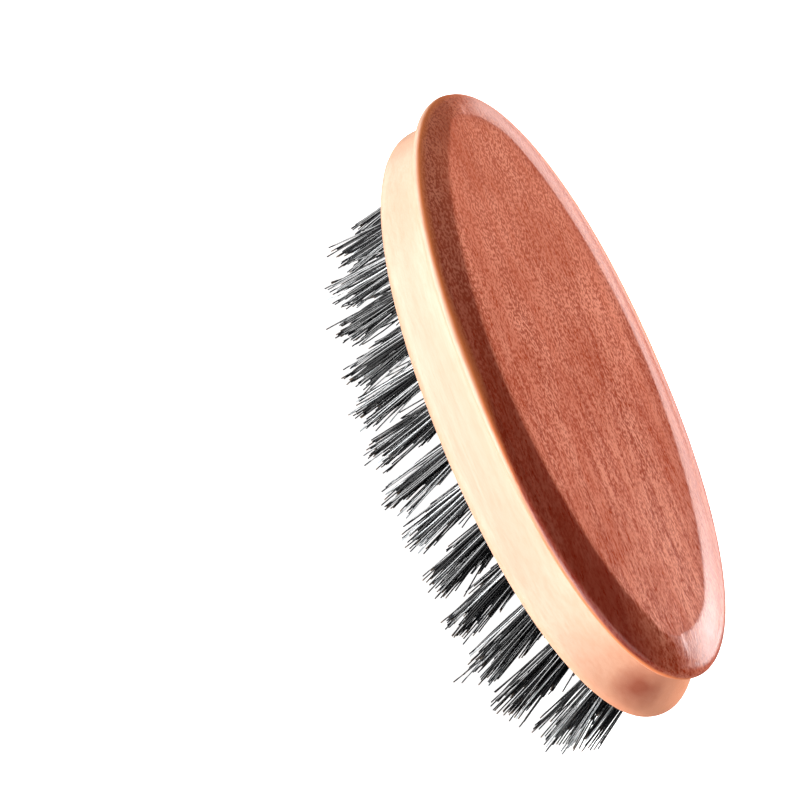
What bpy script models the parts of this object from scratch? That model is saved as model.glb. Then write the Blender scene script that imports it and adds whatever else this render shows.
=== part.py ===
"""Oval beard brush: a drilled wooden block and the bristle tufts set in it.

Units are metres. The brush stands on its bristle tips: the origin is under its middle, in the
plane of the tips, +X runs along its length and +Z points up to the back that the hand holds.
"""

import math

import bmesh
import bpy
from mathutils import Vector

MM = 0.001

# Heights above the plane of the tips
FACE_Z = 18.5 * MM          # drilled face, which the bristles come out of
PLATEAU_Z = 35.0 * MM       # raised oval on the back

# Outlines are superellipses: half length, half width, exponent
RIM_OUTLINE = (55.0 * MM, 18.1 * MM, 2.12)
PLATEAU_OUTLINE = (50.2 * MM, 13.8 * MM, 1.82)
OUTLINE_POINTS = 72

# Side of the block, from the drilled face up to the border of the back:
# distance outside the rim outline, and height above the drilled face
SIDE_PROFILE = (
    (-0.70 * MM, 0.00 * MM),        # edge of the drilled face
    (0.50 * MM, 0.45 * MM),         # rounded lower edge
    (0.92 * MM, 1.60 * MM),         # widest line of the wall
    (0.30 * MM, 3.60 * MM),
    (-0.55 * MM, 6.20 * MM),        # the wall leans in on its way up
    (-1.30 * MM, 8.60 * MM),
    (-2.00 * MM, 10.80 * MM),
    (-2.45 * MM, 12.10 * MM),       # bottom of the finger groove
    (-1.40 * MM, 12.60 * MM),       # underside of the lip
    (-0.25 * MM, 12.75 * MM),
    (0.00 * MM, 13.05 * MM),        # rim band
    (0.00 * MM, 14.00 * MM),
    (-0.40 * MM, 14.65 * MM),       # rounded rim
    (-1.20 * MM, 15.00 * MM),
)
BORDER_CROWN = 0.30 * MM            # how far the border bulges above a straight slope
CREASE_ANGLE = math.radians(35.0)   # edges sharper than this stay crisp

# Tuft holes: rings of them, each a half length, a half width and a count
OUTER_RING = (47.0 * MM, 14.2 * MM, 28)
MIDDLE_RING = (39.5 * MM, 7.4 * MM, 22)
CENTRE_ROW_HALF_LENGTH = 30.4 * MM
CENTRE_ROW_COUNT = 9
HOLE_RADIUS = 2.1 * MM
HOLE_DEPTH = 9.0 * MM
HOLE_SIDES = 10

# The tufts fan out: sideways run over depth, for each metre from the middle
FAN_LENGTHWISE = 5.4
FAN_CROSSWISE = 19.0

# Tufts
TUFT_END_RADIUS = 1.45 * MM         # folded end, deep in the hole
TUFT_MOUTH_RADIUS = 1.75 * MM
TUFT_TIP_RADIUS = 2.90 * MM
TUFT_END_GAP = 0.4 * MM             # from the folded end to the bottom of the hole
TUFT_SPARE = 4.0 * MM               # length that the trimming takes off

PEAR_WOOD = ("pear_wood", (0.50, 0.19, 0.10, 1.0), 0.45)
BRISTLE = ("bristle", (0.03, 0.03, 0.035, 1.0), 0.50)


def clear_scene():
    for item in list(bpy.data.objects):
        bpy.data.objects.remove(item, do_unlink=True)


def make_collection(name):
    collection = bpy.data.collections.new(name)
    bpy.context.scene.collection.children.link(collection)
    return collection


def make_material(name, colour, roughness):
    material = bpy.data.materials.new(name)
    material.use_nodes = True
    shader = material.node_tree.nodes["Principled BSDF"]
    shader.inputs["Base Color"].default_value = colour
    shader.inputs["Roughness"].default_value = roughness
    shader.inputs["Metallic"].default_value = 0.0
    material.diffuse_color = colour
    return material


def add_object(name, mesh, collection, material=None):
    item = bpy.data.objects.new(name, mesh)
    collection.objects.link(item)
    if material is not None and not mesh.materials:
        mesh.materials.append(material)
    return item


def mark_as_cutter(item):
    item.hide_render = True
    item.display_type = 'WIRE'


def add_boolean(item, cutter):
    cut = item.modifiers.new(cutter.name, 'BOOLEAN')
    cut.operation = 'DIFFERENCE'
    cut.solver = 'EXACT'
    cut.object = cutter


# ---- outlines -----------------------------------------------------------------------------

def signed_power(value, power):
    return math.copysign(abs(value) ** power, value)


def section(outline, offset, height):
    """Points of one level section: the outline moved outwards by offset."""
    half_length, half_width, exponent = outline
    points = []
    for step in range(OUTLINE_POINTS):
        angle = 2.0 * math.pi * step / OUTLINE_POINTS
        x = (half_length + offset) * signed_power(math.cos(angle), 2.0 / exponent)
        y = (half_width + offset) * signed_power(math.sin(angle), 2.0 / exponent)
        points.append(Vector((x, y, height)))
    return points


def block_sections():
    """Level sections from the edge of the drilled face up to the edge of the plateau."""
    sections = [section(RIM_OUTLINE, offset, FACE_Z + rise) for offset, rise in SIDE_PROFILE]
    border_start = sections[-1]
    plateau = section(PLATEAU_OUTLINE, 0.0, PLATEAU_Z)
    crown = Vector((0.0, 0.0, BORDER_CROWN))
    sections.append([(low + high) * 0.5 + crown for low, high in zip(border_start, plateau)])
    sections.append(plateau)
    return sections


# ---- block --------------------------------------------------------------------------------

def make_block(collection, material):
    """A loft through unlike ovals, closed by the drilled face and the plateau."""
    mesh = bpy.data.meshes.new("handle_block")
    cage = bmesh.new()
    rings = [[cage.verts.new(point) for point in points] for points in block_sections()]
    for lower, upper in zip(rings, rings[1:]):
        for index in range(OUTLINE_POINTS):
            following = (index + 1) % OUTLINE_POINTS
            cage.faces.new((lower[index], lower[following], upper[following], upper[index]))
    cage.faces.new(reversed(rings[0]))
    plateau = cage.faces.new(rings[-1])
    for face in cage.faces:
        face.smooth = True
    for edge in cage.edges:
        edge.smooth = edge.calc_face_angle() < CREASE_ANGLE
    for edge in plateau.edges:
        edge.smooth = False
    cage.to_mesh(mesh)
    cage.free()
    return add_object("handle_block", mesh, collection, material)


# ---- tuft layout --------------------------------------------------------------------------

def ring_points(half_length, half_width, count, first_share):
    """Points evenly spaced along an ellipse; first_share is the first one's share of a gap."""
    steps = 3600
    corners = []
    for step in range(steps + 1):
        angle = 2.0 * math.pi * step / steps
        corners.append((half_length * math.cos(angle), half_width * math.sin(angle)))
    lengths = [0.0]
    for start, end in zip(corners, corners[1:]):
        lengths.append(lengths[-1] + math.dist(start, end))
    gap = lengths[-1] / count
    points = []
    step = 0
    for index in range(count):
        while lengths[step] < (index + first_share) * gap:
            step += 1
        points.append(corners[step])
    return points


def tuft_layout():
    """Name and mouth of every tuft hole."""
    layout = []
    for index, point in enumerate(ring_points(*OUTER_RING, 0.5)):
        layout.append((f"tuft_outer_{index + 1:02d}", point))
    for index, point in enumerate(ring_points(*MIDDLE_RING, 0.5)):
        layout.append((f"tuft_middle_{index + 1:02d}", point))
    pitch = 2.0 * CENTRE_ROW_HALF_LENGTH / (CENTRE_ROW_COUNT - 1)
    for index in range(CENTRE_ROW_COUNT):
        point = (index * pitch - CENTRE_ROW_HALF_LENGTH, 0.0)
        layout.append((f"tuft_centre_{index + 1:02d}", point))
    return layout


def place_on_hole(item, point):
    """Set an object on a hole's mouth, its local +Z pointing up the leaning hole."""
    x, y = point
    up_the_hole = Vector((-x * FAN_LENGTHWISE, -y * FAN_CROSSWISE, 1.0))
    item.location = (x, y, FACE_Z)
    item.rotation_mode = 'QUATERNION'
    item.rotation_quaternion = Vector((0.0, 0.0, 1.0)).rotation_difference(up_the_hole)


# ---- holes and tufts ----------------------------------------------------------------------

def make_hole_cutter(layout, collection):
    """All the drill bits as one cutter."""
    cage = bmesh.new()
    guide = bpy.data.objects.new("drill_guide", None)
    for _, point in layout:
        place_on_hole(guide, point)
        matrix = guide.matrix_basis.copy()
        bit = bmesh.ops.create_cone(
            cage, cap_ends=True, segments=HOLE_SIDES,
            radius1=HOLE_RADIUS, radius2=HOLE_RADIUS, depth=2.0 * HOLE_DEPTH)
        bmesh.ops.transform(cage, matrix=matrix, verts=bit["verts"])
    bpy.data.objects.remove(guide)
    mesh = bpy.data.meshes.new("tuft_holes")
    cage.to_mesh(mesh)
    cage.free()
    cutter = add_object("tuft_holes", mesh, collection)
    mark_as_cutter(cutter)
    return cutter


def make_trimming_cutter(collection):
    """A slab whose top is the plane that the tips are trimmed to."""
    thickness = 4.0 * TUFT_SPARE
    cage = bmesh.new()
    bmesh.ops.create_cube(cage, size=1.0)
    size = Vector((4.0 * RIM_OUTLINE[0], 8.0 * RIM_OUTLINE[1], thickness))
    bmesh.ops.scale(cage, vec=size, verts=cage.verts)
    bmesh.ops.translate(cage, vec=(0.0, 0.0, -0.5 * thickness), verts=cage.verts)
    mesh = bpy.data.meshes.new("tip_trim")
    cage.to_mesh(mesh)
    cage.free()
    cutter = add_object("tip_trim", mesh, collection)
    mark_as_cutter(cutter)
    return cutter


def make_tuft_profile(material):
    """Half outline of an untrimmed tuft, from the folded end down past the tips."""
    flare = (TUFT_TIP_RADIUS - TUFT_MOUTH_RADIUS) / FACE_Z
    spare_length = FACE_Z + TUFT_SPARE
    end_height = HOLE_DEPTH - TUFT_END_GAP
    outline = (
        (0.0, end_height),
        (TUFT_END_RADIUS, end_height),
        (TUFT_MOUTH_RADIUS, 0.0),
        (TUFT_MOUTH_RADIUS + flare * spare_length, -spare_length),
        (0.0, -spare_length),
    )
    mesh = bpy.data.meshes.new("tuft")
    edges = [(index, index + 1) for index in range(len(outline) - 1)]
    mesh.from_pydata([(radius, 0.0, height) for radius, height in outline], edges, [])
    mesh.materials.append(material)
    return mesh


def make_tuft(name, point, profile, trim, collection):
    tuft = add_object(name, profile, collection)
    place_on_hole(tuft, point)
    turn = tuft.modifiers.new("turn", 'SCREW')
    turn.steps = HOLE_SIDES
    turn.render_steps = HOLE_SIDES
    turn.use_merge_vertices = True
    turn.merge_threshold = 0.01 * MM
    add_boolean(tuft, trim)
    return tuft


def main():
    clear_scene()
    brush = make_collection("beard_brush")
    cutters = make_collection("cutters")
    wood = make_material(*PEAR_WOOD)
    bristle = make_material(*BRISTLE)

    layout = tuft_layout()
    block = make_block(brush, wood)
    add_boolean(block, make_hole_cutter(layout, cutters))

    trim = make_trimming_cutter(cutters)
    profile = make_tuft_profile(bristle)
    for name, point in layout:
        make_tuft(name, point, profile, trim, brush)


main()
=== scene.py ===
"""Looks of the oval beard brush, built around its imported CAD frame.

Units are metres in the frame of the CAD part: the origin is under the middle of the brush, in the
plane of the bristle tips, +X runs along its length and +Z points up to its back.
"""

import math
import random

import bmesh
import bpy
from mathutils import Matrix, Vector


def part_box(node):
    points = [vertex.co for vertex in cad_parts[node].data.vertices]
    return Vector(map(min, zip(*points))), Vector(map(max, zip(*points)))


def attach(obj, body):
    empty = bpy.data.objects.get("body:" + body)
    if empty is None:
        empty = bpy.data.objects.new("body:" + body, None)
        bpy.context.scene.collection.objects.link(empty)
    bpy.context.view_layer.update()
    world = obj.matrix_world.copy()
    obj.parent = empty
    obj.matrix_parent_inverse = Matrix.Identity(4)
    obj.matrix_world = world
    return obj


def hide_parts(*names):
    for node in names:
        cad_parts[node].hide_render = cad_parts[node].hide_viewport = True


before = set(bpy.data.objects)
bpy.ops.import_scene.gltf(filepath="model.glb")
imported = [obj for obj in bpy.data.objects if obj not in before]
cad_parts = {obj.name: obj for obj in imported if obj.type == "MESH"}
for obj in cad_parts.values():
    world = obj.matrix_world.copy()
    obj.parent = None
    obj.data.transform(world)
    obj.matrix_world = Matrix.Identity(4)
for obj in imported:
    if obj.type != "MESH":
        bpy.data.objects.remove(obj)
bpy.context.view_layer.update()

MM = 0.001
UP = Vector((0.0, 0.0, 1.0))

BLOCK_LOW, BLOCK_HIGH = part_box("handle_block")
FACE_Z = BLOCK_LOW.z            # drilled face
PLATEAU_Z = BLOCK_HIGH.z        # flat oval on the back

# ---- block dimensions -----------------------------------------------------------------------

# Outlines are superellipses: half length, half width, exponent
RIM_OUTLINE = (55.0 * MM, 18.1 * MM, 2.12)
PLATEAU_OUTLINE = (50.2 * MM, 13.8 * MM, 1.82)
OUTLINE_POINTS = 288

# Side of the block, from the drilled face up to the border of the back:
# distance outside the rim outline, and height above the drilled face
SIDE_PROFILE = (
    (-0.70 * MM, 0.00 * MM),
    (0.30 * MM, 0.08 * MM),
    (0.76 * MM, 0.45 * MM),
    (0.92 * MM, 1.50 * MM),
    (0.72 * MM, 2.60 * MM),
    (0.30 * MM, 3.80 * MM),
    (-0.55 * MM, 6.20 * MM),
    (-1.30 * MM, 8.60 * MM),
    (-2.00 * MM, 10.80 * MM),
    (-2.40 * MM, 11.80 * MM),
    (-2.35 * MM, 12.25 * MM),
    (-1.40 * MM, 12.60 * MM),
    (-0.25 * MM, 12.75 * MM),
    (0.00 * MM, 13.00 * MM),
    (0.02 * MM, 13.55 * MM),
    (-0.12 * MM, 14.10 * MM),
    (-0.45 * MM, 14.60 * MM),
    (-0.95 * MM, 14.92 * MM),
    (-1.55 * MM, 15.15 * MM),
)
LIP_RISE = 12.70 * MM           # height of the lip's lower edge above the drilled face
PROFILE_STEPS = 3               # rows between two profile points
BORDER_ROWS = 14
BORDER_CROWN = 0.15 * MM        # how far the border bulges above a straight slope
PLATEAU_EASE = 0.25 * MM        # width of the softened edge of the plateau
SIDE_EASE = 0.50 * MM           # how much wider it is along the -Y side
PLATEAU_MARGIN = 2.0 * MM       # painted shade darkens the plateau within this distance of its edge

# The plateau's ends are blunt, with a crisp corner on the -Y side that a mitre runs out from
PLATEAU_END = 49.6 * MM
CORNER_EASES = (1.30 * MM, 2.2 * MM)    # rounding of the end's corners on the -Y and +Y sides
END_SHEAR = 0.9 * MM            # how far the end leans towards -Y
END_SHEAR_FROM = 44.0 * MM
MITRE_ANGLE = math.radians(8.0)
MITRE_DIPS = {1: 0.48 * MM, -1: 0.14 * MM}      # dip beside the mitre at the +X and -X ends
MITRE_RISE = 2.2 * MM           # distance over which the dip sets in
MITRE_REACH = 13.0 * MM         # distance over which it dies away
ARC_PER_RADIAN = 18.0 * MM      # length of the rim near its ends for a radian of the outline

STAIN_FROM = 14.0 * MM          # heights above the drilled face between which the stain sets in
STAIN_TO = 15.1 * MM
STAIN_DROP = 1.4 * MM           # how much lower they are towards the +X end

SHADE_PATCH_PLACE = (52.7 * MM, -4.9 * MM, FACE_Z + 6.2 * MM)     # where a patch of painted shade lies on the side's +X end
SHADE_PATCH_RADIUS = 4.8 * MM

HOLE_RADIUS = 2.1 * MM
HOLE_SIDES = 24
FOLD_GAP = 0.4 * MM             # from a tuft's folded end to the bottom of its hole

STAPLE_LENGTH = 3.4 * MM        # flat wire that holds a folded tuft down in its hole
STAPLE_HEIGHT = 1.0 * MM
STAPLE_THICKNESS = 0.25 * MM
STAPLE_DEPTH = 0.70             # share of the hole's depth

# ---- looks of the wood ----------------------------------------------------------------------

# Features a metre in each layer of the grain, along X, Y and Z
FLECK_GRAIN = (1500.0, 4000.0, 4000.0)
FIBRE_GRAIN = (420.0, 2500.0, 2500.0)
STREAK_GRAIN = (60.0, 1100.0, 1100.0)
BAND_GRAIN = (16.0, 300.0, 300.0)
CLOUD_GRAIN = (75.0, 150.0, 150.0)
GRAIN_BUMP = 0.030 * MM
WOOD_IOR = 1.45

# Stained wood of the back
STAINED_DARK = (0.300, 0.042, 0.014, 1.0)
STAINED_LIGHT = (0.720, 0.245, 0.150, 1.0)
STAINED_BAND = (0.50, 0.090, 0.036, 1.0)
STAINED_CLOUD = (0.35, 0.050, 0.018, 1.0)
# Painted light: the paler colour that the back is mixed with at its -X end
END_LIGHT_PAINT = (0.80, 0.29, 0.175, 1.0)
DULL_STAIN = (0.33, 0.130, 0.090, 1.0)
# Painted shade: the dark red that the border and the plateau's edge are painted with
PAINTED_SHADE_RED = (0.18, 0.010, 0.003, 1.0)
STAIN_EDGE_FALLOFF = (0.68, 0.190, 0.062, 1.0)          # where the stain fades out on the lip, its orange partly painted shade for the light falling off over the rim

# Bare wood of the side, painted paler in part as painted light for the strong light on the side
BARE_LIT_DARK = (0.68, 0.385, 0.250, 1.0)
BARE_LIT_LIGHT = (0.72, 0.435, 0.295, 1.0)
BARE_LIT_STREAK = (0.64, 0.330, 0.200, 1.0)
BARE_LIT_FIBRE = (0.62, 0.320, 0.200, 1.0)
# Painted shade on the side's +X end, and a darker patch of it
SIDE_END_SHADE = (0.58, 0.190, 0.092, 1.0)
SHADE_PATCH_COLOUR = (0.34, 0.068, 0.028, 1.0)

# Stretches along X, and across the brush along Y, over which the looks change
FLECK_FADE_ALONG = (-40.0 * MM, 30.0 * MM)          # the fine flecks get fainter
END_LIGHT_ALONG = (-50.0 * MM, 10.0 * MM)            # the painted light at the -X end fades out
SHADE_ALONG = (-42.0 * MM, -18.0 * MM)           # the painted shade of the border sets in
MORE_SHADE_ALONG = (-18.0 * MM, 42.0 * MM)          # and goes on getting darker
SHADE_ACROSS = (-4.0 * MM, -9.0 * MM)            # on this side of the brush
MILD_SHADE_ACROSS = (-4.0 * MM, 6.0 * MM)             # it is milder on the other side
DULL_ACROSS = (0.0, 6.0 * MM)                   # and duller
EDGE_SHADE_ACROSS = (-9.0 * MM, -1.0 * MM)
END_SHADE_ALONG = (46.0 * MM, 51.0 * MM)              # the +X end of the border, painted darker to dim the sheen there
DROP_ALONG = (0.0, 35.0 * MM)                   # the stain's edge drops by STAIN_DROP
SIDE_END_SHADE_ALONG = (44.0 * MM, 53.5 * MM)
STAIN_WANDER = 0.15 * MM        # how far the stain's edge wanders up and down
SHADE_PATCH_WANDER = 1.0 * MM         # and the edge of the patch of painted shade in and out

# ---- bristle dimensions ---------------------------------------------------------------------

STRANDS = 31                    # folded strands in a tuft, two bristles each
CLUMPS = 5                      # wisps that the tips of a tuft gather into
CLUMPING = 0.20
BRISTLE_RADIUS = 0.165 * MM
BRISTLE_SIDES = 5
MOUTH_RADIUS = 1.85 * MM
TIP_RADIUS = 3.5 * MM
TIP_JITTER = 0.50 * MM
BOW = 0.32 * MM
END_SPLAY = 1.5 * MM            # extra lean outwards of the outer ring near its ends
MIDDLE_SPLAY = 1.8 * MM         # and of the middle ring
END_PRESS = Vector((-0.4 * MM, -2.5 * MM, 0.0))      # set that the tufts at the +X end have taken
FAR_PRESS = Vector((-0.5 * MM, -5.7 * MM, 0.0))     # and those just beyond its middle
END_SPREAD = 0.25               # share by which their tips are spread wider
START_PRESS = Vector((2.4 * MM, -1.0 * MM, 0.0))    # set of the tufts at the -X end
TRIM_UNEVEN = 1.6 * MM
STRAY_SHARE = 0.07              # share of the bristles that stand out from their tuft
STRAY_REACH = 3.2               # how much further their tips are jittered
TAPER = 0.30
STRAND_SHARES = (0.0, 0.2, 0.42, 0.66, 0.88, 1.0)   # places of a bristle's rings, mouth to tip
STRAND_BEND = 0.75              # share of the hole's depth at which a strand turns to its fold

# Stretches of the tips' places, from the middle of the brush outwards, over which the sets change
SPLAY_ALONG = (22.0 * MM, 40.0 * MM)
START_ALONG = (40.0 * MM, 51.0 * MM)
PRESS_ALONG = (38.0 * MM, 47.0 * MM)
PRESS_TURN = (-4.0 * MM, 4.0 * MM)
PRESS_ACROSS = (6.0 * MM, 10.0 * MM)
SPREAD_ALONG = (38.0 * MM, 49.0 * MM)
# Painted highlight: pale strands grow fewer over this stretch
SHEEN_FADE_ALONG = (-30.0 * MM, 45.0 * MM)

# Colours of the bristles
HAIR_BLACK = (0.004, 0.004, 0.005, 1.0)
HAIR_DARK = (0.032, 0.035, 0.041, 1.0)
# Painted highlight: grey-white that stands for light glinting along a strand
HAIR_PAINTED_SHEEN = (0.62, 0.66, 0.68, 1.0)
HAIR_BROWN = (0.04, 0.028, 0.02, 1.0)
HAIR_TIP = (0.17, 0.13, 0.10, 1.0)
HAIR_MOTTLE = (900.0, 900.0, 700.0)             # features a metre
HAIR_BUMP = 0.006 * MM
HAIR_IOR = 1.7

# ---- stage ----------------------------------------------------------------------------------

# Softboxes: name, direction from the brush, distance, width, height, strength
SOFTBOXES = (
    ("low_front_light", (-0.22, -0.88, -0.38), 0.60, 0.72, 0.36, 2.15),
    ("front_fill", (0.50, -0.80, 0.30), 0.90, 0.50, 0.50, 0.27),
    ("low_end_light", (-0.82, -0.40, -0.40), 0.60, 0.40, 0.40, 0.35),
    ("low_back_light", (-0.38, 0.90, 0.22), 0.80, 0.90, 0.45, 0.85),
    ("key_light", (0.13, 0.81, 0.55), 0.80, 0.45, 0.45, 1.85),
)
FLOOR_HALF_SIZE = 3.0
CAMERA_PLACE = Vector((0.1535, -0.2201, 0.3326))
CAMERA_RIGHT = Vector((0.3282, 0.8658, 0.3777))
CAMERA_BACK = Vector((0.3935, -0.4888, 0.7786))
CAMERA_SENSOR = 36.0            # mm
CAMERA_LENS = 111.7             # mm


# ---- helpers --------------------------------------------------------------------------------

def add_piece(name, mesh, material):
    piece = bpy.data.objects.new(name, mesh)
    bpy.context.scene.collection.objects.link(piece)
    mesh.materials.clear()
    mesh.materials.append(material)
    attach(piece, "root")
    return piece


class Tree:
    """A material's node tree, with short calls to add and link nodes."""

    def __init__(self, name):
        self.material = bpy.data.materials.new(name)
        self.material.use_nodes = True
        self.nodes = self.material.node_tree.nodes
        self.links = self.material.node_tree.links
        self.shader = self.nodes["Principled BSDF"]

    def feed(self, socket, value):
        if isinstance(value, bpy.types.NodeSocket):
            self.links.new(value, socket)
        else:
            socket.default_value = value

    def node(self, kind, settings=(), **inputs):
        made = self.nodes.new(kind)
        for key, value in dict(settings).items():
            setattr(made, key, value)
        for key, value in inputs.items():
            self.feed(made.inputs[key.replace("_", " ")], value)
        return made

    def coordinates(self, scale):
        where = self.node("ShaderNodeTexCoord").outputs["Object"]
        return self.node("ShaderNodeMapping", Vector=where, Scale=scale).outputs["Vector"]

    def noise(self, scale, detail=3.0, roughness=0.55, distortion=0.0):
        """Noise with so many features a metre along each axis."""
        made = self.node("ShaderNodeTexNoise", Vector=self.coordinates(scale), Scale=1.0,
                         Detail=detail, Roughness=roughness, Distortion=distortion)
        return made.outputs["Fac"]

    def maths(self, operation, first, second=0.0, clamp=False):
        made = self.nodes.new("ShaderNodeMath")
        made.operation = operation
        made.use_clamp = clamp
        self.feed(made.inputs[0], first)
        self.feed(made.inputs[1], second)
        return made.outputs[0]

    def distance(self, place, point):
        made = self.nodes.new("ShaderNodeVectorMath")
        made.operation = 'DISTANCE'
        self.feed(made.inputs[0], place)
        made.inputs[1].default_value = point
        return made.outputs["Value"]

    def spread(self, value, low, high, to_low=0.0, to_high=1.0):
        """Maps low..high to to_low..to_high, clamped."""
        made = self.nodes.new("ShaderNodeMapRange")
        self.feed(made.inputs["Value"], value)
        made.inputs["From Min"].default_value = low
        made.inputs["From Max"].default_value = high
        made.inputs["To Min"].default_value = to_low
        made.inputs["To Max"].default_value = to_high
        return made.outputs["Result"]

    def mix(self, share, first, second, blend='MIX'):
        made = self.nodes.new("ShaderNodeMix")
        made.data_type = 'RGBA'
        made.blend_type = blend
        self.feed(made.inputs[0], share)
        self.feed(made.inputs[6], first)
        self.feed(made.inputs[7], second)
        return made.outputs[2]

    def bump(self, height, distance, strength=1.0, normal=None):
        made = self.node("ShaderNodeBump", Height=height, Distance=distance, Strength=strength)
        if normal is not None:
            self.links.new(normal, made.inputs["Normal"])
        return made.outputs["Normal"]


# ---- materials ------------------------------------------------------------------------------

def make_pear_wood():
    """Oiled pear wood, its grain along X. The back is stained, and the side is nearly bare. Painted
    light and shade: the side is painted paler in part for its strong light, the back lighter at its -X
    end, and the border, the plateau's edge and the side's +X end darker.
    """
    tree = Tree("pear_wood_grain")
    fleck = tree.noise(FLECK_GRAIN, detail=1.0, roughness=0.5)
    fibre = tree.noise(FIBRE_GRAIN, detail=3.0, roughness=0.7, distortion=0.2)
    streak = tree.noise(STREAK_GRAIN, detail=2.0, roughness=0.55, distortion=0.3)
    bands = tree.noise(BAND_GRAIN, detail=2.0, roughness=0.5, distortion=0.6)
    cloud = tree.noise(CLOUD_GRAIN, detail=3.0, roughness=0.6)

    where = tree.node("ShaderNodeTexCoord").outputs["Object"]
    place = tree.node("ShaderNodeSeparateXYZ", Vector=where).outputs
    border = tree.node("ShaderNodeAttribute", {"attribute_name": "border"}).outputs["Fac"]
    edge = tree.node("ShaderNodeAttribute", {"attribute_name": "edge"}).outputs["Fac"]

    # The fine flecks are stronger at the -X end
    speckle = tree.maths('MULTIPLY', tree.spread(fleck, 0.34, 0.66, -1.5, 1.5),
                         tree.spread(place["X"], *FLECK_FADE_ALONG, 1.0, 0.25))
    speckle = tree.maths('ADD', speckle, tree.spread(fibre, 0.32, 0.68, -0.55, 0.55))
    speckle = tree.maths('ADD', speckle, tree.spread(streak, 0.30, 0.70, 0.10, 0.90), clamp=True)
    colour = tree.mix(speckle, STAINED_DARK, STAINED_LIGHT)
    colour = tree.mix(tree.spread(bands, 0.36, 0.64, 0.0, 0.35), colour, STAINED_BAND)
    colour = tree.mix(tree.spread(cloud, 0.34, 0.66, 0.48, 0.0), colour, STAINED_CLOUD)

    # Painted light: the back is painted lighter at its -X end, where more light falls
    colour = tree.mix(tree.spread(place["X"], *END_LIGHT_ALONG, 0.18, 0.0), colour, END_LIGHT_PAINT)

    # Painted shade: the border is painted darker where it lies in shade, more so towards its +X end on
    # the -Y side
    border_shade = tree.maths('ADD', tree.spread(place["X"], *SHADE_ALONG, 0.0, 0.42),
                      tree.spread(place["X"], *MORE_SHADE_ALONG, 0.0, 0.32))
    border_shade = tree.maths('MULTIPLY', tree.spread(place["Y"], *SHADE_ACROSS), border_shade)
    border_shade = tree.maths('ADD', border_shade, tree.spread(place["Y"], *MILD_SHADE_ACROSS, 0.03, 0.22))
    border_shade = tree.maths('ADD', border_shade, tree.spread(place["X"], *END_SHADE_ALONG, 0.0, 0.22), clamp=True)
    border_shade = tree.maths('MULTIPLY', border_shade, border)
    dull = tree.maths('MULTIPLY', tree.spread(place["Y"], *DULL_ACROSS, 0.0, 0.40), border)
    colour = tree.mix(dull, colour, DULL_STAIN)

    # Painted shade also darkens the plateau along its edge, except on the -Y side
    edge_shade = tree.maths('MULTIPLY', edge, tree.spread(place["Y"], *EDGE_SHADE_ACROSS, 0.0, 0.26))
    colour = tree.mix(tree.maths('ADD', border_shade, edge_shade), colour, PAINTED_SHADE_RED)

    # Painted light: the side's nearly bare wood, painted paler in part for the strong light it gets
    bare_with_painted_light = tree.mix(tree.spread(bands, 0.35, 0.65), BARE_LIT_DARK, BARE_LIT_LIGHT)
    bare_with_painted_light = tree.mix(tree.spread(streak, 0.45, 0.70, 0.0, 0.50), bare_with_painted_light, BARE_LIT_STREAK)
    bare_with_painted_light = tree.mix(tree.spread(fibre, 0.45, 0.70, 0.0, 0.35), bare_with_painted_light, BARE_LIT_FIBRE)

    # Painted shade: the side is painted darker at its +X end, where the light falls off, with a darker
    # patch there
    bare_with_painted_light = tree.mix(tree.spread(place["X"], *SIDE_END_SHADE_ALONG, 0.0, 0.75), bare_with_painted_light, SIDE_END_SHADE)
    from_shade_patch = tree.maths('ADD', tree.distance(where, SHADE_PATCH_PLACE),
                      tree.spread(cloud, 0.3, 0.7, -SHADE_PATCH_WANDER, SHADE_PATCH_WANDER))
    bare_with_painted_light = tree.mix(tree.spread(from_shade_patch, 0.3 * SHADE_PATCH_RADIUS, SHADE_PATCH_RADIUS, 0.90, 0.0), bare_with_painted_light, SHADE_PATCH_COLOUR)

    # The stain fades out on the lip, through an orange that is partly painted shade for the light
    # falling off over the rim's curve
    height = tree.maths('ADD', place["Z"], tree.spread(cloud, 0.3, 0.7, -STAIN_WANDER, STAIN_WANDER))
    height = tree.maths('ADD', height, tree.spread(place["X"], *DROP_ALONG, 0.0, STAIN_DROP))
    stained = tree.spread(height, FACE_Z + STAIN_FROM, FACE_Z + STAIN_TO)
    faded_with_falloff = tree.mix(tree.spread(stained, 0.0, 0.5), bare_with_painted_light, STAIN_EDGE_FALLOFF)
    tree.feed(tree.shader.inputs["Base Color"], tree.mix(tree.spread(stained, 0.5, 1.0), faded_with_falloff, colour))

    rough = tree.maths('ADD', tree.spread(fibre, 0.3, 0.7, 0.25, 0.37),
                       tree.spread(cloud, 0.3, 0.7, -0.04, 0.06))
    rough = tree.maths('ADD', rough, tree.spread(stained, 0.0, 1.0, 0.05, 0.0))
    tree.feed(tree.shader.inputs["Roughness"], rough)

    normal = tree.bump(fibre, GRAIN_BUMP, 0.8)
    normal = tree.bump(fleck, GRAIN_BUMP, 0.7, normal)
    tree.feed(tree.shader.inputs["Normal"], normal)
    tree.shader.inputs["IOR"].default_value = WOOD_IOR
    return tree.material


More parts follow.
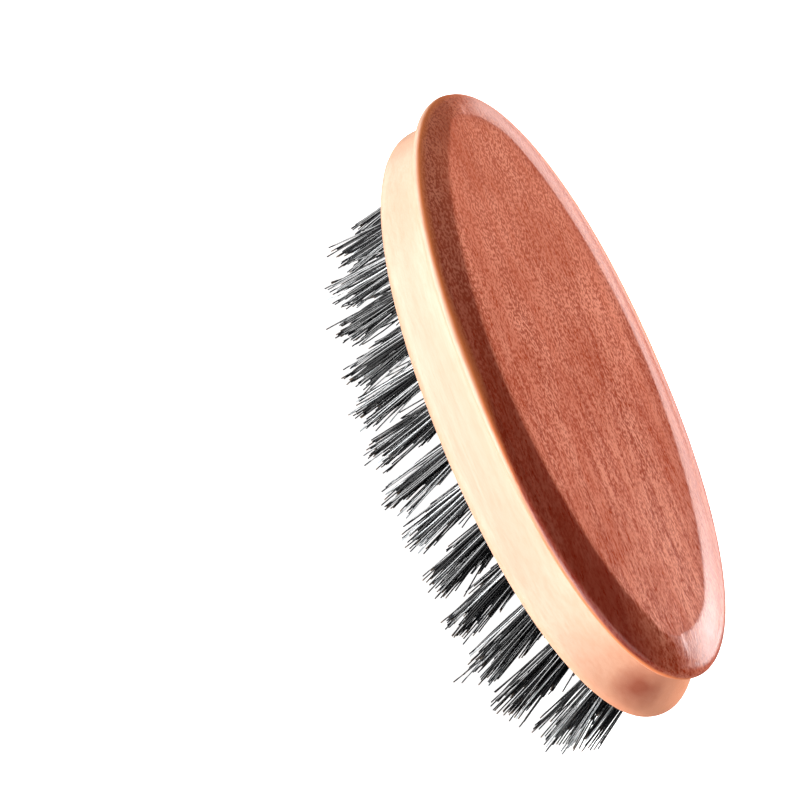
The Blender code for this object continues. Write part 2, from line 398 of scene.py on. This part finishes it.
def make_bristle():
    """Dark boar bristle. Each strand has its own shade, the palest painted grey-white as painted
    highlights, and the darkest have paler tips.
    """
    tree = Tree("boar_bristle")
    shade = tree.node("ShaderNodeAttribute", {"attribute_name": "shade"}).outputs["Fac"]
    along = tree.node("ShaderNodeAttribute", {"attribute_name": "along"}).outputs["Fac"]
    mottle = tree.noise(HAIR_MOTTLE, detail=3.0)
    colour = tree.mix(tree.spread(shade, 0.55, 0.80), HAIR_BLACK, HAIR_DARK)
    # Painted highlight: the palest strands are painted grey-white
    colour = tree.mix(tree.spread(shade, 0.84, 0.98), colour, HAIR_PAINTED_SHEEN)
    colour = tree.mix(tree.spread(mottle, 0.55, 0.8, 0.0, 0.4), colour, HAIR_BROWN)
    pale_tip = tree.maths('MULTIPLY', tree.spread(along, 0.93, 1.0),
                          tree.spread(shade, 0.12, 0.25, 0.7, 0.0))
    colour = tree.mix(pale_tip, colour, HAIR_TIP)
    tree.feed(tree.shader.inputs["Base Color"], colour)
    tree.feed(tree.shader.inputs["Roughness"], tree.spread(mottle, 0.3, 0.7, 0.16, 0.30))
    tree.feed(tree.shader.inputs["Specular IOR Level"], tree.spread(shade, 0.25, 0.70, 0.08, 1.0))
    tree.feed(tree.shader.inputs["Normal"], tree.bump(mottle, HAIR_BUMP, 0.3))
    tree.shader.inputs["IOR"].default_value = HAIR_IOR
    return tree.material


def make_steel():
    """Bright flat wire."""
    tree = Tree("staple_steel")
    wear = tree.noise((400.0, 400.0, 400.0), detail=3.0)
    colour = tree.mix(wear, (0.48, 0.48, 0.49, 1.0), (0.62, 0.62, 0.61, 1.0))
    tree.feed(tree.shader.inputs["Base Color"], colour)
    tree.feed(tree.shader.inputs["Roughness"], tree.spread(wear, 0.3, 0.7, 0.25, 0.45))
    tree.feed(tree.shader.inputs["Normal"], tree.bump(wear, 0.01 * MM, 0.5))
    tree.shader.inputs["Metallic"].default_value = 1.0
    return tree.material


def make_floor_material():
    tree = Tree("pale_table")
    soft = tree.noise((9.0, 9.0, 9.0), detail=2.0)
    tree.feed(tree.shader.inputs["Base Color"],
              tree.mix(soft, (0.82, 0.82, 0.82, 1.0), (0.86, 0.86, 0.86, 1.0)))
    tree.shader.inputs["Roughness"].default_value = 0.6
    tree.shader.inputs["Emission Color"].default_value = (1.0, 1.0, 1.0, 1.0)
    tree.shader.inputs["Emission Strength"].default_value = 1.0
    return tree.material


# ---- block ----------------------------------------------------------------------------------

def signed_power(value, power):
    return math.copysign(abs(value) ** power, value)


def outline_point(outline, offset, angle):
    half_length, half_width, exponent = outline
    x = (half_length + offset) * signed_power(math.cos(angle), 2.0 / exponent)
    y = (half_width + offset) * signed_power(math.sin(angle), 2.0 / exponent)
    return Vector((x, y, 0.0))


def curve_rows(points, steps):
    """Points on a smooth curve through the given ones."""
    rows = []
    last = len(points) - 1
    for index in range(last):
        before = Vector(points[max(index - 1, 0)])
        start = Vector(points[index])
        end = Vector(points[index + 1])
        after = Vector(points[min(index + 2, last)])
        span = (end - start).length
        out = (end - before).normalized() * span
        into = (after - start).normalized() * span
        for step in range(steps):
            t = step / steps
            rows.append(start * (2 * t ** 3 - 3 * t ** 2 + 1) + out * (t ** 3 - 2 * t ** 2 + t)
                        + end * (3 * t ** 2 - 2 * t ** 3) + into * (t ** 3 - t ** 2))
    rows.append(Vector(points[last]))
    return rows


def smooth_share(value, low, high):
    share = min(max((value - low) / (high - low), 0.0), 1.0)
    return share * share * (3.0 - 2.0 * share)


def soft_limit(value, limit, ease):
    """The smaller of value and limit, with the corner between them rounded."""
    gap = value - limit
    return limit + 0.5 * (gap - math.sqrt(gap * gap + ease * ease))


def plateau_point(angle, offset):
    point = outline_point(PLATEAU_OUTLINE, offset, angle)
    ease = CORNER_EASES[0] if math.sin(angle) < 0.0 else CORNER_EASES[1]
    blunt = soft_limit(abs(point.x), PLATEAU_END + offset, ease)
    shear = END_SHEAR * smooth_share(abs(point.x), END_SHEAR_FROM, PLATEAU_END)
    return Vector((math.copysign(blunt, point.x), point.y - shear, PLATEAU_Z))


def mitre_dip(angle):
    """How far the rim dips on the -Y side of the mitre at each end."""
    dip = 0.0
    for end, depth in MITRE_DIPS.items():
        below = -math.asin(math.sin(angle)) if math.cos(angle) * end > 0.0 else 0.5 * math.pi
        if math.sin(angle) > 0.0 or below <= MITRE_ANGLE:
            continue
        run = ARC_PER_RADIAN * (below - MITRE_ANGLE)
        dip += depth * (1.0 - math.exp(-run / MITRE_RISE)) * math.exp(-run / MITRE_REACH)
    return dip


def block_rings():
    """Rings of points from the drilled face to the plateau, each with its border and edge values."""
    angles = [2.0 * math.pi * (step + 0.5) / OUTLINE_POINTS for step in range(OUTLINE_POINTS)]
    rings = []
    for offset, rise in curve_rows(SIDE_PROFILE, PROFILE_STEPS):
        share = smooth_share(rise, LIP_RISE - 2.0 * MM, LIP_RISE + 1.0 * MM)
        ring = [outline_point(RIM_OUTLINE, offset, angle)
                + UP * (FACE_Z + rise - share * mitre_dip(angle)) for angle in angles]
        rings.append((ring, 1.0, 0.0))
    start = rings[-1][0]
    plateau = [plateau_point(angle, 0.0) for angle in angles]
    for row in range(1, BORDER_ROWS):
        t = row / BORDER_ROWS
        crown = UP * (BORDER_CROWN * 4.0 * t * (1.0 - t))
        rings.append(([low.lerp(high, t) + crown for low, high in zip(start, plateau)], 1.0, 0.0))
    rings.append((plateau, 0.4, 1.0))
    eases = [PLATEAU_EASE + SIDE_EASE * max(-math.sin(angle), 0.0) for angle in angles]
    rings.append(([plateau_point(angle, -ease) for angle, ease in zip(angles, eases)], 0.0, 0.8))
    rings.append(([plateau_point(angle, -0.5 * PLATEAU_MARGIN) for angle in angles], 0.0, 0.4))
    rings.append(([plateau_point(angle, -PLATEAU_MARGIN) for angle in angles], 0.0, 0.0))
    return rings


def make_block_mesh():
    cage = bmesh.new()
    border_layer = cage.verts.layers.float.new("border")
    edge_layer = cage.verts.layers.float.new("edge")
    rings = []
    for points, border, edge in block_rings():
        rings.append([cage.verts.new(point) for point in points])
        for corner in rings[-1]:
            corner[border_layer] = border
            corner[edge_layer] = edge
    for lower, upper in zip(rings, rings[1:]):
        for index in range(OUTLINE_POINTS):
            following = (index + 1) % OUTLINE_POINTS
            cage.faces.new((lower[index], lower[following], upper[following], upper[index]))
    cage.faces.new(reversed(rings[0]))
    cage.faces.new(rings[-1])
    mesh = bpy.data.meshes.new("block")
    cage.to_mesh(mesh)
    cage.free()
    return mesh


def make_drill_mesh(tufts):
    cage = bmesh.new()
    for tuft in tufts:
        depth = (tuft["fold"] - tuft["mouth"]).length + FOLD_GAP
        turn = UP.rotation_difference(tuft["axis"]).to_matrix().to_4x4()
        matrix = Matrix.Translation(tuft["mouth"]) @ turn
        bit = bmesh.ops.create_cone(cage, cap_ends=True, segments=HOLE_SIDES,
                                    radius1=HOLE_RADIUS, radius2=HOLE_RADIUS, depth=2.0 * depth)
        bmesh.ops.transform(cage, matrix=matrix, verts=bit["verts"])
    mesh = bpy.data.meshes.new("drill")
    cage.to_mesh(mesh)
    cage.free()
    return mesh


def make_block(tufts, material):
    block = add_piece("wooden_block", make_block_mesh(), material)
    drill = bpy.data.objects.new("drill", make_drill_mesh(tufts))
    bpy.context.scene.collection.objects.link(drill)
    cut = block.modifiers.new("holes", 'BOOLEAN')
    cut.operation = 'DIFFERENCE'
    cut.solver = 'EXACT'
    cut.object = drill
    bpy.context.view_layer.update()
    depsgraph = bpy.context.evaluated_depsgraph_get()
    drilled = bpy.data.meshes.new_from_object(block.evaluated_get(depsgraph))
    block.modifiers.clear()
    block.data = drilled
    bpy.data.objects.remove(drill)
    drilled.shade_smooth()
    drilled.set_sharp_from_angle(angle=math.radians(38.0))
    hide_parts("handle_block")
    return block


def make_staples(tufts, material):
    """The flat wires at the bottom of the holes, as one piece."""
    cage = bmesh.new()
    for tuft in tufts:
        axis = tuft["axis"]
        across = axis.orthogonal().normalized()
        other = axis.cross(across)
        turn = Matrix((across, other, axis)).transposed().to_4x4()
        size = Matrix.Diagonal((STAPLE_LENGTH, STAPLE_THICKNESS, STAPLE_HEIGHT, 1.0))
        place = tuft["mouth"].lerp(tuft["fold"], STAPLE_DEPTH)
        bmesh.ops.create_cube(cage, size=1.0, matrix=Matrix.Translation(place) @ turn @ size)
    mesh = bpy.data.meshes.new("staples")
    cage.to_mesh(mesh)
    cage.free()
    return add_piece("anchor_staples", mesh, material)


# ---- tufts ----------------------------------------------------------------------------------

def read_tuft(name):
    """A tuft's axis from its CAD node: middle of the tips, mouth of the hole, folded end."""
    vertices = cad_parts[name].data.vertices
    places = {tuple(round(part, 7) for part in vertex.co) for vertex in vertices}
    points = [Vector(place) for place in places]
    top = max(point.z for point in points)
    tips = [point for point in points if point.z < 0.05 * MM]
    ends = [point for point in points if point.z > top - 3.0 * MM]
    tip = sum(tips, Vector()) / len(tips)
    fold = sum(ends, Vector()) / len(ends)
    axis = (fold - tip).normalized()
    mouth = tip + axis * ((FACE_Z - tip.z) / axis.z)
    return {"name": name, "tip": tip, "mouth": mouth, "fold": fold, "axis": axis}


def splay(tuft):
    """How far a tuft's tips lean beyond its hole's own line, from the splay and from use."""
    tip = tuft["tip"]
    side = math.copysign(1.0, tip.y)
    if "outer" in tuft["name"]:
        lean = Vector((0.0, side * END_SPLAY * smooth_share(abs(tip.x), *SPLAY_ALONG), 0.0))
    elif "middle" in tuft["name"]:
        lean = Vector((0.0, side * MIDDLE_SPLAY, 0.0))
    else:
        lean = Vector()
    press = END_PRESS.lerp(FAR_PRESS, smooth_share(tip.y, *PRESS_TURN))
    pressed = smooth_share(tip.x, *PRESS_ALONG) * (1.0 - smooth_share(tip.y, *PRESS_ACROSS))
    lean = lean.lerp(press, pressed)
    return lean.lerp(START_PRESS, smooth_share(-tip.x, *START_ALONG))


def disc_point(rng, radius):
    reach = radius * math.sqrt(rng.random())
    angle = rng.uniform(0.0, 2.0 * math.pi)
    return Vector((reach * math.cos(angle), reach * math.sin(angle)))


def bristle_path(rng, tuft, across, other, spot, wisps):
    """Points of one bristle from its mouth to its tip, for a spot on the mouth's disc."""
    down = -tuft["axis"]
    root = tuft["mouth"] + across * spot.x + other * spot.y
    widening = 1.0 + END_SPREAD * smooth_share(tuft["tip"].x, *SPREAD_ALONG)
    spread = TIP_RADIUS / MOUTH_RADIUS * widening
    stray = STRAY_REACH if rng.random() < STRAY_SHARE else 1.0
    jitter = Vector((rng.gauss(0.0, TIP_JITTER), rng.gauss(0.0, TIP_JITTER))) * stray
    wisp = min(wisps, key=lambda centre: (centre - spot).length)
    end_spot = spot.lerp(wisp, CLUMPING) * spread + jitter
    length = FACE_Z / -down.z
    end = tuft["mouth"] + down * length + across * end_spot.x + other * end_spot.y + splay(tuft)
    trim = TRIM_UNEVEN * rng.random() ** 1.6 + BRISTLE_RADIUS
    run = end - root
    end = root + run * ((root.z - trim) / (root.z - end.z))
    bow = across * rng.gauss(0.0, BOW) + other * rng.gauss(0.0, BOW)
    return [root.lerp(end, share) + bow * (2.0 * share * (1.0 - share)) for share in STRAND_SHARES]


def add_tube(cage, layers, path, alongs, shade):
    """A closed round strand through the path."""
    shade_layer, along_layer = layers
    rings = []
    side = None
    for index, point in enumerate(path):
        before = path[max(index - 1, 0)]
        after = path[min(index + 1, len(path) - 1)]
        heading = (after - before).normalized()
        if side is None:
            side = heading.orthogonal().normalized()
        side = (side - heading * side.dot(heading)).normalized()
        third = heading.cross(side)
        radius = BRISTLE_RADIUS * (1.0 - TAPER * alongs[index])
        ring = []
        for step in range(BRISTLE_SIDES):
            angle = 2.0 * math.pi * step / BRISTLE_SIDES
            corner = cage.verts.new(point + side * (radius * math.cos(angle))
                                    + third * (radius * math.sin(angle)))
            corner[shade_layer] = shade
            corner[along_layer] = alongs[index]
            ring.append(corner)
        rings.append(ring)
    for lower, upper in zip(rings, rings[1:]):
        for index in range(BRISTLE_SIDES):
            following = (index + 1) % BRISTLE_SIDES
            face = cage.faces.new((lower[index], lower[following], upper[following], upper[index]))
            face.smooth = True
    cage.faces.new(reversed(rings[0]))
    cage.faces.new(rings[-1])


def make_tuft(tuft, material, seed):
    """Strands folded over the staple, both ends of each sticking out of the hole."""
    rng = random.Random(seed)
    axis = tuft["axis"]
    across = axis.orthogonal().normalized()
    other = axis.cross(across)
    cage = bmesh.new()
    layers = (cage.verts.layers.float.new("shade"), cage.verts.layers.float.new("along"))
    depth = (tuft["fold"] - tuft["mouth"]).length
    bend = tuft["mouth"] + axis * (depth * STRAND_BEND)
    alongs = list(reversed(STRAND_SHARES)) + [0.0, 0.0, 0.0] + list(STRAND_SHARES)
    wisps = [disc_point(rng, MOUTH_RADIUS) for _ in range(CLUMPS)]
    # Painted highlight: fewer strands are pale towards the +X end, where less light glints on them
    sheen_fade = 1.0 + smooth_share(tuft["tip"].x, *SHEEN_FADE_ALONG)
    for _ in range(STRANDS):
        spot = disc_point(rng, MOUTH_RADIUS - BRISTLE_RADIUS)
        twin = disc_point(rng, MOUTH_RADIUS - BRISTLE_RADIUS)
        spot.y = abs(spot.y)
        twin.y = -abs(twin.y)
        first = bristle_path(rng, tuft, across, other, spot, wisps)
        second = bristle_path(rng, tuft, across, other, twin, wisps)
        top = tuft["mouth"] + axis * (depth - rng.uniform(0.2, 1.2) * MM) + across * (spot.x * 0.6)
        inner = [bend + across * (spot.x * 0.7) + other * (spot.y * 0.6), top,
                 bend + across * (twin.x * 0.7) + other * (twin.y * 0.6)]
        path = list(reversed(first)) + inner + second
        add_tube(cage, layers, path, alongs, rng.random() ** sheen_fade)
    mesh = bpy.data.meshes.new(tuft["name"])
    cage.to_mesh(mesh)
    cage.free()
    piece = add_piece(tuft["name"] + "_bristles", mesh, material)
    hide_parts(tuft["name"])
    return piece


# ---- stage ----------------------------------------------------------------------------------

def make_floor():
    cage = bmesh.new()
    bmesh.ops.create_grid(cage, x_segments=1, y_segments=1, size=FLOOR_HALF_SIZE)
    mesh = bpy.data.meshes.new("floor")
    cage.to_mesh(mesh)
    cage.free()
    floor = bpy.data.objects.new("floor", mesh)
    bpy.context.scene.collection.objects.link(floor)
    mesh.materials.append(make_floor_material())
    floor.visible_shadow = False
    floor.visible_glossy = False


def add_softbox(name, direction, distance, width, height, strength):
    """A softbox that gives so much light, where 1 turns a white surface facing it white."""
    lamp = bpy.data.lights.new(name, 'AREA')
    lamp.shape = 'RECTANGLE'
    lamp.size = width
    lamp.size_y = height
    lamp.energy = strength * math.pi * math.pi * distance ** 2
    holder = bpy.data.objects.new(name, lamp)
    holder.visible_camera = False
    target = UP * (0.5 * (FACE_Z + PLATEAU_Z))
    towards = Vector(direction).normalized()
    holder.location = target + towards * distance
    holder.rotation_mode = 'QUATERNION'
    holder.rotation_quaternion = towards.to_track_quat('Z', 'Y')
    bpy.context.scene.collection.objects.link(holder)


def make_lights():
    for softbox in SOFTBOXES:
        add_softbox(*softbox)
    world = bpy.data.worlds.new("studio")
    world.use_nodes = True
    world.node_tree.nodes["Background"].inputs["Color"].default_value = (0.90, 0.90, 0.90, 1.0)
    world.cycles_visibility.diffuse = False
    world.cycles_visibility.glossy = False
    bpy.context.scene.world = world
    bpy.context.scene.view_settings.view_transform = 'Standard'


def make_camera():
    lens = bpy.data.cameras.new("camera")
    lens.sensor_width = CAMERA_SENSOR
    lens.lens = CAMERA_LENS
    lens.clip_start = 0.01
    holder = bpy.data.objects.new("camera", lens)
    right = CAMERA_RIGHT.normalized()
    back = (CAMERA_BACK - right * CAMERA_BACK.dot(right)).normalized()
    turn = Matrix((right, back.cross(right), back)).transposed().to_4x4()
    holder.matrix_world = Matrix.Translation(CAMERA_PLACE) @ turn
    bpy.context.scene.collection.objects.link(holder)
    bpy.context.scene.camera = holder


# ---- build ----------------------------------------------------------------------------------

make_camera()
make_lights()
make_floor()

tuft_names = sorted(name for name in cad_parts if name.startswith("tuft_"))
tufts = [read_tuft(name) for name in tuft_names]
make_block(tufts, make_pear_wood())
make_staples(tufts, make_steel())
bristle = make_bristle()
for number, tuft in enumerate(tufts):
    make_tuft(tuft, bristle, 1000 + number)
